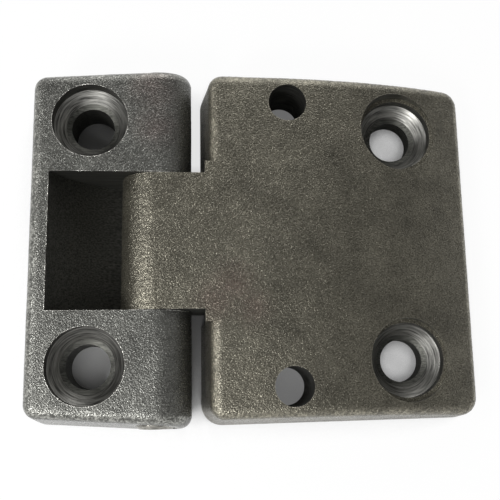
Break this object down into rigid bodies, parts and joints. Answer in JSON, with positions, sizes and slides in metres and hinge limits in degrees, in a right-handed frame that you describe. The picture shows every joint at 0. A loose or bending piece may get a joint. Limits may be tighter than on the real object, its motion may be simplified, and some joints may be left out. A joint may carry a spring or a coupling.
{
  "type": "car door hinge",
  "caption": "Flat car door hinge: a forked pillar leaf and a tongued door leaf with countersunk screw holes, joined by a steel pin on which the door leaf swings open.",
  "frame": {"origin": "midway between the pillar leaf's screw holes, on its flat mounting face", "axes": "+Z out of the mounting faces towards the front, +Y along the hinge pin, +X from the pillar leaf to the door leaf"},
  "size_m": [0.095, 0.0758, 0.0145],
  "materials": {
    "pillar_skin": "shot-blasted forged skin, dark grey, oiled; bright machined countersinks and slot",
    "door_skin": "shot-blasted forged skin, dark olive grey, oiled; bright machined countersinks",
    "pin_steel": "ground steel"
  },
  "bodies": {
    "pillar": {"pillar_leaf": "pillar_skin", "hinge_pin": "pin_steel"},
    "door": {"door_leaf": "door_skin"}
  },
  "joints": [
    {"name": "door_swing", "type": "hinge", "parent": "pillar", "child": "door", "pos_m": [0.0135, 0, 0.00725], "axis": [0, -1, 0], "range_deg": [0, 105]}
  ]
}
